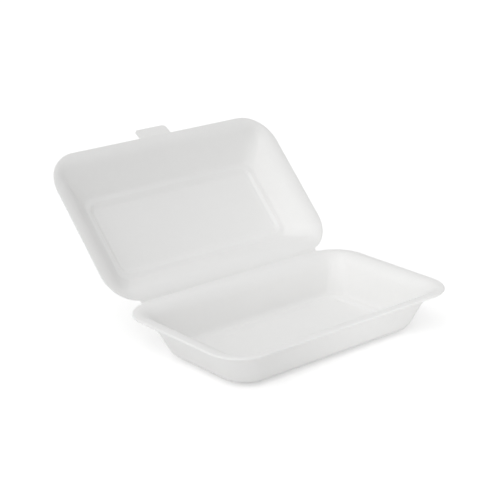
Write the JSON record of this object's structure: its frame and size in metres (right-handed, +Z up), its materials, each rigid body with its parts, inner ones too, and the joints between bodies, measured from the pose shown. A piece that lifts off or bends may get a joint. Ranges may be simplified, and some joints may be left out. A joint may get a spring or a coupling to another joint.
{
  "type": "foam clamshell container",
  "caption": "Hinged foam food box: a flared tray and a shallower lid thrown open, with broad rims, a pressed hinge along one long side and a locking tab.",
  "frame": {"origin": "on the table under the middle of the tray's rim, in the plane of the tray's sole", "axes": "+X along the hinge, +Y from the front to the hinge side, +Z up"},
  "size_m": [0.242, 0.2491, 0.142],
  "materials": {
    "foam": "satin moulded foam"
  },
  "bodies": {
    "tray": {"tray": "foam"},
    "lid": {"lid": "foam"}
  },
  "joints": [
    {"name": "lid_hinge", "type": "hinge", "parent": "tray", "child": "lid", "pos_m": [0, 0.07195, 0.0362], "axis": [-1, 0, 0], "range_deg": [-134, 46]}
  ]
}
